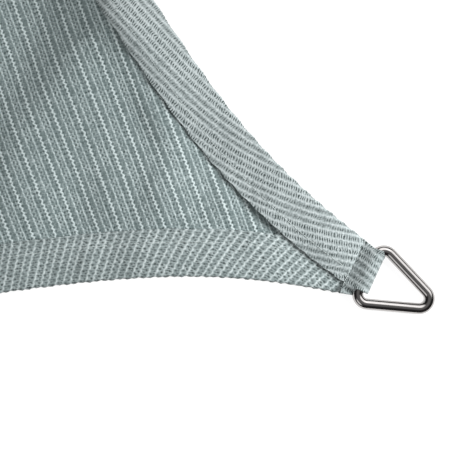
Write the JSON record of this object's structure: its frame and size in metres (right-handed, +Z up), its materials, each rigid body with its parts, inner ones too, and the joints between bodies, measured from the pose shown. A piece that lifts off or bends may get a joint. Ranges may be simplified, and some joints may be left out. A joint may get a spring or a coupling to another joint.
{
  "type": "shade sail",
  "caption": "Square shade sail of knitted cloth with folded hems, inward-curved sides and a triangular wire ring in the loop at each corner, laid out flat.",
  "frame": {"origin": "under the centre of the sail, on the surface that it lies on", "axes": "+Z up, square to the laid cloth; +X and +Y along the lines between neighbouring loop ends, with the ribs of the knit along Y"},
  "size_m": [2.0512, 2.0512, 0.0149],
  "materials": {
    "knitted_cloth": "matt knitted polyethylene, with the loops of its ribs showing",
    "ring_steel": "polished stainless wire"
  },
  "bodies": {
    "root": {"sail_cloth": "knitted_cloth", "ring_front_left": "ring_steel", "ring_front_right": "ring_steel", "ring_back_right": "ring_steel", "ring_back_left": "ring_steel"}
  },
  "joints": []
}
